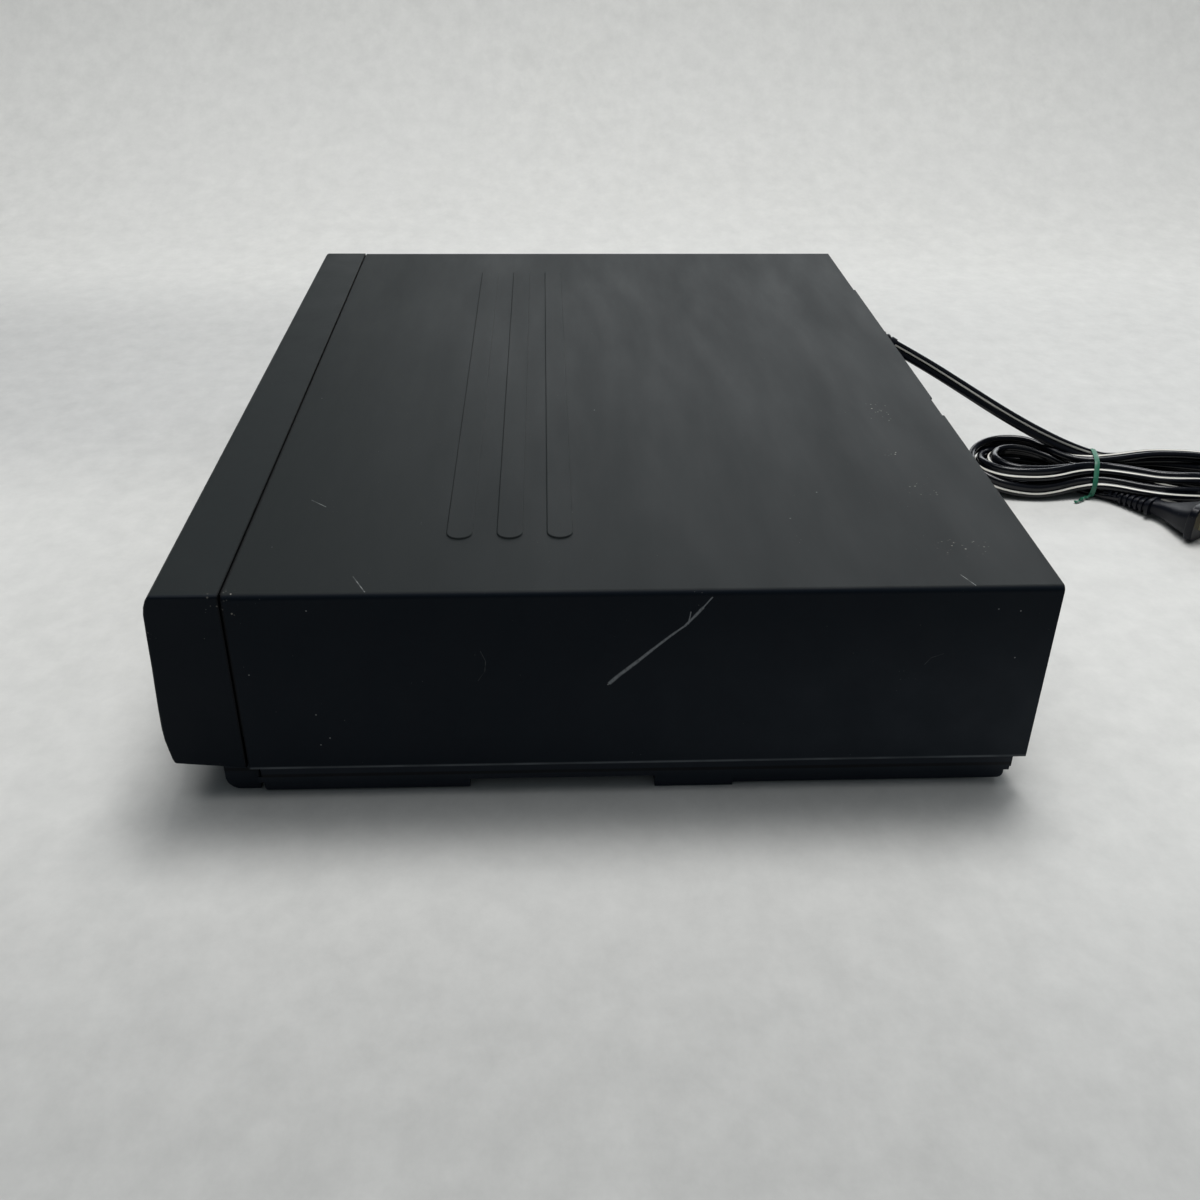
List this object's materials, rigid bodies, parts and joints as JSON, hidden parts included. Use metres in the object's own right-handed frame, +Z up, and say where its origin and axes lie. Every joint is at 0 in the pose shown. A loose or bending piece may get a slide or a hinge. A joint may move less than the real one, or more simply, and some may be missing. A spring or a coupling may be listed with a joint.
{
  "type": "video cassette recorder",
  "caption": "Low wide front-loading video tape deck with steel cover, hinged cassette door, loading carriage, head drum transport and a tied mains cord.",
  "frame": {"origin": "on the surface the deck stands on, under the middle of the deck's bounding box without its mains cord", "axes": "+Z up, the front panel faces -Y, +X is the user's right"},
  "size_m": [0.38, 0.48, 0.0815],
  "materials": {
    "cover_steel": "black satin paint over sheet steel",
    "panel_plastic": "black moulded plastic, fine texture",
    "frame_plastic": "black moulded plastic",
    "smoked_window": "smoked clear plastic",
    "galvanised_steel": "zinc-plated sheet steel",
    "rubber": "black rubber",
    "rear_plastic": "black plastic",
    "screw_steel": "black-oxide steel",
    "tin_can": "tin-plated steel",
    "nickel": "nickel plate",
    "jack_plastic": "black plastic",
    "yellow_jack": "yellow plastic ring on a plated shell",
    "white_jack": "white plastic ring on a plated shell",
    "red_jack": "red plastic ring on a plated shell",
    "board": "brown phenolic circuit board",
    "transformer_core": "varnished laminations",
    "aluminium": "plain aluminium",
    "drum_aluminium": "polished aluminium",
    "capacitor_sleeve": "dark sleeve",
    "ribbon": "pale flat cable",
    "white_acetal": "white acetal",
    "black_acetal": "black acetal",
    "motor_steel": "plated steel",
    "ferrite": "black ferrite magnet",
    "button_plastic": "black button plastic",
    "cord_pvc": "black PVC",
    "plug_pvc": "black moulded PVC",
    "brass_blades": "plated brass",
    "tie_green": "green paper-and-wire tie",
    "polished_steel": "ground steel"
  },
  "bodies": {
    "casing": {"top_cover": "cover_steel", "front_panel": "panel_plastic", "display_window": "smoked_window", "base_frame": "frame_plastic", "bottom_plate": "galvanised_steel", "rubber_feet": "rubber", "rear_panel": "rear_plastic", "cover_screws": "screw_steel", "tuner_module": "tin_can", "antenna_sockets": "nickel", "av_jack_block": "jack_plastic", "video_jack": "yellow_jack", "audio_left_jack": "white_jack", "audio_right_jack": "red_jack", "main_board": "board", "power_board": "board", "transformer": "transformer_core", "heat_sink": "aluminium", "capacitors": "capacitor_sleeve", "front_board": "board", "ribbon_cable": "ribbon", "deck_plate": "galvanised_steel", "deck_supports": "galvanised_steel", "loader_frame": "galvanised_steel", "drum_lower": "drum_aluminium", "capstan_stator": "board", "loading_motor": "motor_steel", "control_head": "polished_steel", "erase_head": "polished_steel", "cord_gland": "plug_pvc", "power_cord_lead": "cord_pvc", "power_cord_hank": "cord_pvc", "power_plug": "plug_pvc", "plug_blades": "brass_blades", "cord_twist_tie": "tie_green"},
    "cassette_door": {"cassette_door": "panel_plastic"},
    "carriage_slider": {"carriage_slider": "galvanised_steel"},
    "cassette_holder": {"cassette_holder": "galvanised_steel"},
    "head_drum": {"drum_upper": "drum_aluminium", "drum_magnet": "ferrite"},
    "capstan": {"capstan": "motor_steel"},
    "pinch_arm": {"pinch_arm": "motor_steel"},
    "pinch_roller": {"pinch_roller": "rubber"},
    "supply_reel": {"supply_reel": "black_acetal"},
    "take_up_reel": {"take_up_reel": "black_acetal"},
    "idler_arm": {"idler_arm": "white_acetal"},
    "idler_wheel": {"idler_wheel": "rubber"},
    "tension_arm": {"tension_arm": "motor_steel"},
    "supply_post_carriage": {"supply_post_carriage": "polished_steel"},
    "take_up_post_carriage": {"take_up_post_carriage": "polished_steel"},
    "cam_gear": {"cam_gear": "white_acetal"},
    "channel_switch": {"channel_switch": "black_acetal"},
    "power_button": {"power_button": "button_plastic"},
    "channel_down_button": {"channel_down_button": "button_plastic"},
    "channel_up_button": {"channel_up_button": "button_plastic"},
    "rewind_button": {"rewind_button": "button_plastic"},
    "play_button": {"play_button": "button_plastic"},
    "forward_button": {"forward_button": "button_plastic"},
    "stop_eject_button": {"stop_eject_button": "button_plastic"},
    "record_button": {"record_button": "button_plastic"}
  },
  "joints": [
    {"name": "door_hinge", "type": "hinge", "parent": "casing", "child": "cassette_door", "pos_m": [0.035, -0.1473, 0.0754], "axis": [1, 0, 0], "range_deg": [0, 88], "stiffness_Nm_per_rad": 0.01},
    {"name": "carriage_travel", "type": "slide", "parent": "casing", "child": "carriage_slider", "axis": [0, 1, 0], "range_m": [0, 0.065]},
    {"name": "holder_drop", "type": "slide", "parent": "carriage_slider", "child": "cassette_holder", "axis": [0, 0, -1], "range_m": [0, 0.019]},
    {"name": "drum_spin", "type": "hinge", "parent": "casing", "child": "head_drum", "pos_m": [0.035, 0.0507, 0.0217], "axis": [0, 0.0872, 0.9962], "continuous": true},
    {"name": "capstan_spin", "type": "hinge", "parent": "casing", "child": "capstan", "pos_m": [0.097, 0.0037, 0.0217], "axis": [0, 0, 1], "continuous": true},
    {"name": "pinch_arm_swing", "type": "hinge", "parent": "casing", "child": "pinch_arm", "pos_m": [0.121, 0.0267, 0.0217], "axis": [0, 0, 1], "range_deg": [0, 28]},
    {"name": "pinch_roller_spin", "type": "hinge", "parent": "pinch_arm", "child": "pinch_roller", "pos_m": [0.09703, 0.01996, 0.0317], "axis": [0, 0, 1], "continuous": true},
    {"name": "supply_reel_spin", "type": "hinge", "parent": "casing", "child": "supply_reel", "pos_m": [-0.011, -0.0573, 0.0217], "axis": [0, 0, 1], "continuous": true},
    {"name": "take_up_reel_spin", "type": "hinge", "parent": "casing", "child": "take_up_reel", "pos_m": [0.081, -0.0573, 0.0217], "axis": [0, 0, 1], "continuous": true},
    {"name": "idler_swing", "type": "hinge", "parent": "casing", "child": "idler_arm", "pos_m": [0.035, -0.0873, 0.0217], "axis": [0, 0, 1], "range_deg": [-6, 6]},
    {"name": "idler_wheel_spin", "type": "hinge", "parent": "idler_arm", "child": "idler_wheel", "pos_m": [0.035, -0.0573, 0.0217], "axis": [0, 0, 1], "continuous": true},
    {"name": "tension_arm_swing", "type": "hinge", "parent": "casing", "child": "tension_arm", "pos_m": [-0.037, -0.0173, 0.0217], "axis": [0, 0, 1], "range_deg": [-10, 12]},
    {"name": "cam_turn", "type": "hinge", "parent": "casing", "child": "cam_gear", "pos_m": [-0.043, 0.0347, 0.0217], "axis": [0, 0, 1], "range_deg": [0, 190]},
    {"name": "supply_post_travel", "type": "slide", "parent": "casing", "child": "supply_post_carriage", "axis": [0, 1, 0], "range_m": [0, 0.064]},
    {"name": "take_up_post_travel", "type": "slide", "parent": "casing", "child": "take_up_post_carriage", "axis": [0, 1, 0], "range_m": [0, 0.064]},
    {"name": "channel_switch_slide", "type": "slide", "parent": "casing", "child": "channel_switch", "axis": [1, 0, 0], "range_m": [0, 0.0045]},
    {"name": "power_button_press", "type": "slide", "parent": "casing", "child": "power_button", "axis": [0, 1, 0], "range_m": [0, 0.001], "stiffness_N_per_m": 200},
    {"name": "channel_down_button_press", "type": "slide", "parent": "casing", "child": "channel_down_button", "axis": [0, 1, 0], "range_m": [0, 0.001], "stiffness_N_per_m": 200},
    {"name": "channel_up_button_press", "type": "slide", "parent": "casing", "child": "channel_up_button", "axis": [0, 1, 0], "range_m": [0, 0.001], "stiffness_N_per_m": 200},
    {"name": "rewind_button_press", "type": "slide", "parent": "casing", "child": "rewind_button", "axis": [0, 1, 0], "range_m": [0, 0.001], "stiffness_N_per_m": 200},
    {"name": "play_button_press", "type": "slide", "parent": "casing", "child": "play_button", "axis": [0, 1, 0], "range_m": [0, 0.001], "stiffness_N_per_m": 200},
    {"name": "forward_button_press", "type": "slide", "parent": "casing", "child": "forward_button", "axis": [0, 1, 0], "range_m": [0, 0.001], "stiffness_N_per_m": 200},
    {"name": "stop_eject_button_press", "type": "slide", "parent": "casing", "child": "stop_eject_button", "axis": [0, 1, 0], "range_m": [0, 0.001], "stiffness_N_per_m": 200},
    {"name": "record_button_press", "type": "slide", "parent": "casing", "child": "record_button", "axis": [0, 1, 0], "range_m": [0, 0.001], "stiffness_N_per_m": 200}
  ],
  "couplings": [
    {"joint": "supply_post_travel", "follows": "cam_turn", "m_per_rad": 0.01929},
    {"joint": "take_up_post_travel", "follows": "cam_turn", "m_per_rad": 0.01929}
  ]
}
